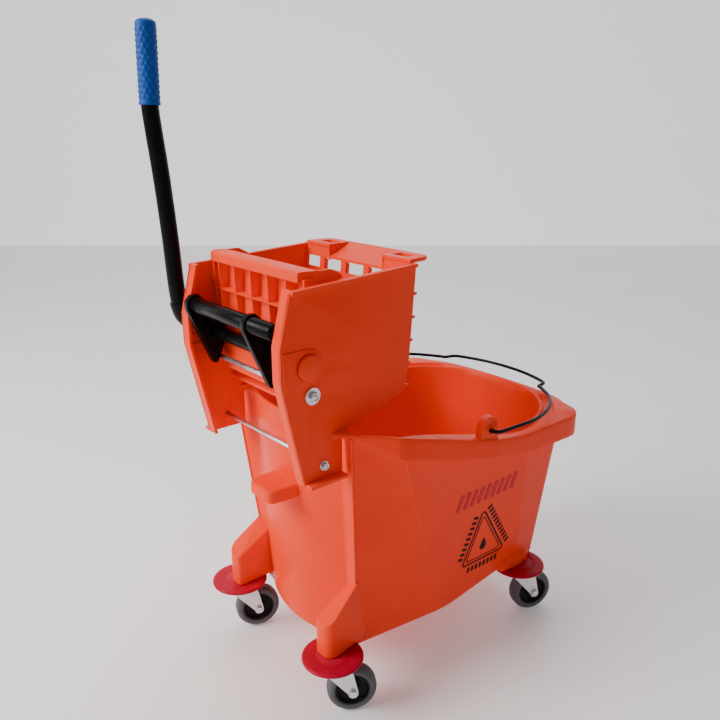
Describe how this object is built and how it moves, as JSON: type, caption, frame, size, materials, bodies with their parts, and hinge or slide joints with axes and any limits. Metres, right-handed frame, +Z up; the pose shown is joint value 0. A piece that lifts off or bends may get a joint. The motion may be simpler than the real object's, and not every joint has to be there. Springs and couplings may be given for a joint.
{
  "type": "mop bucket with wringer",
  "caption": "Slanted-rim mop bucket on swivel castors with ring bumpers, a bail handle and a lift-off side-press wringer worked by an upright lever.",
  "frame": {"origin": "middle of the bounding box, on the floor that the castors stand on", "axes": "+X from the wringer end to the pouring end, +Y to the side that carries the press lever, +Z up"},
  "size_m": [0.6336, 0.4362, 0.9712],
  "materials": {
    "orange_plastic": "semi-gloss moulded orange",
    "bumper_red": "satin crimson",
    "zinc_steel": "zinc plated",
    "grey_tyre": "matt grey",
    "black_plastic": "satin black",
    "black_steel": "satin black powder coat",
    "blue_grip": "soft blue with dimples"
  },
  "bodies": {
    "bucket": {"bucket": "orange_plastic", "castor_rear_near_bumper": "bumper_red", "castor_rear_near_stem": "zinc_steel", "castor_rear_far_bumper": "bumper_red", "castor_rear_far_stem": "zinc_steel", "castor_front_near_bumper": "bumper_red", "castor_front_near_stem": "zinc_steel", "castor_front_far_bumper": "bumper_red", "castor_front_far_stem": "zinc_steel"},
    "bail": {"bail_handle": "black_steel"},
    "wringer": {"wringer_frame": "orange_plastic", "pivot_rod": "zinc_steel", "pivot_rod_washer_near": "zinc_steel", "pivot_rod_washer_far": "zinc_steel", "pivot_rod_nut_near": "zinc_steel", "pivot_rod_nut_far": "zinc_steel", "tie_rod": "zinc_steel", "tie_rod_washer_near": "zinc_steel", "tie_rod_washer_far": "zinc_steel", "tie_rod_nut_near": "zinc_steel", "tie_rod_nut_far": "zinc_steel", "shaft_bush_near": "orange_plastic", "shaft_bush_far": "orange_plastic", "return_spring_near": "zinc_steel", "return_spring_far": "zinc_steel"},
    "press_handle": {"press_shaft": "black_steel", "press_arm_near": "black_steel", "press_arm_far": "black_steel", "push_bar": "black_steel", "handle_socket": "black_steel", "handle_tube": "black_steel", "handle_grip": "blue_grip"},
    "press_plate": {"press_plate": "orange_plastic"},
    "castor_rear_near_swivel": {"castor_rear_near_fork": "zinc_steel", "castor_rear_near_axle": "zinc_steel"},
    "castor_rear_near_wheel": {"castor_rear_near_tyre": "grey_tyre", "castor_rear_near_hub": "black_plastic"},
    "castor_rear_far_swivel": {"castor_rear_far_fork": "zinc_steel", "castor_rear_far_axle": "zinc_steel"},
    "castor_rear_far_wheel": {"castor_rear_far_tyre": "grey_tyre", "castor_rear_far_hub": "black_plastic"},
    "castor_front_near_swivel": {"castor_front_near_fork": "zinc_steel", "castor_front_near_axle": "zinc_steel"},
    "castor_front_near_wheel": {"castor_front_near_tyre": "grey_tyre", "castor_front_near_hub": "black_plastic"},
    "castor_front_far_swivel": {"castor_front_far_fork": "zinc_steel", "castor_front_far_axle": "zinc_steel"},
    "castor_front_far_wheel": {"castor_front_far_tyre": "grey_tyre", "castor_front_far_hub": "black_plastic"}
  },
  "joints": [
    {"name": "bail_swing", "type": "hinge", "parent": "bucket", "child": "bail", "pos_m": [0.027, 0, 0.41], "axis": [0, -1, 0], "range_deg": [0, 95]},
    {"name": "wringer_lift", "type": "slide", "parent": "bucket", "child": "wringer", "axis": [0, 0, 1], "range_m": [0, 0.06]},
    {"name": "handle_press", "type": "hinge", "parent": "wringer", "child": "press_handle", "pos_m": [-0.247, 0, 0.547], "axis": [0, 1, 0], "range_deg": [0, 60]},
    {"name": "press_swing", "type": "hinge", "parent": "wringer", "child": "press_plate", "pos_m": [-0.241, 0, 0.507], "axis": [0, 1, 0], "range_deg": [0, 27]},
    {"name": "castor_rear_near_turn", "type": "hinge", "parent": "bucket", "child": "castor_rear_near_swivel", "pos_m": [-0.215, -0.128, 0.08], "axis": [0, 0, 1], "continuous": true},
    {"name": "castor_rear_near_spin", "type": "hinge", "parent": "castor_rear_near_swivel", "child": "castor_rear_near_wheel", "pos_m": [-0.191, -0.14242, 0.0375], "axis": [0.515, 0.8572, 0], "continuous": true},
    {"name": "castor_rear_far_turn", "type": "hinge", "parent": "bucket", "child": "castor_rear_far_swivel", "pos_m": [-0.215, 0.128, 0.08], "axis": [0, 0, 1], "continuous": true},
    {"name": "castor_rear_far_spin", "type": "hinge", "parent": "castor_rear_far_swivel", "child": "castor_rear_far_wheel", "pos_m": [-0.18904, 0.11751, 0.0375], "axis": [0.3746, 0.9272, 0], "continuous": true},
    {"name": "castor_front_near_turn", "type": "hinge", "parent": "bucket", "child": "castor_front_near_swivel", "pos_m": [0.186, -0.152, 0.08], "axis": [0, 0, 1], "continuous": true},
    {"name": "castor_front_near_spin", "type": "hinge", "parent": "castor_front_near_swivel", "child": "castor_front_near_wheel", "pos_m": [0.21196, -0.16249, 0.0375], "axis": [0.3746, 0.9272, 0], "continuous": true},
    {"name": "castor_front_far_turn", "type": "hinge", "parent": "bucket", "child": "castor_front_far_swivel", "pos_m": [0.186, 0.152, 0.08], "axis": [0, 0, 1], "continuous": true},
    {"name": "castor_front_far_spin", "type": "hinge", "parent": "castor_front_far_swivel", "child": "castor_front_far_wheel", "pos_m": [0.21196, 0.14151, 0.0375], "axis": [0.3746, 0.9272, 0], "continuous": true}
  ],
  "couplings": [
    {"joint": "press_swing", "follows": "handle_press", "ratio": 0.45}
  ]
}
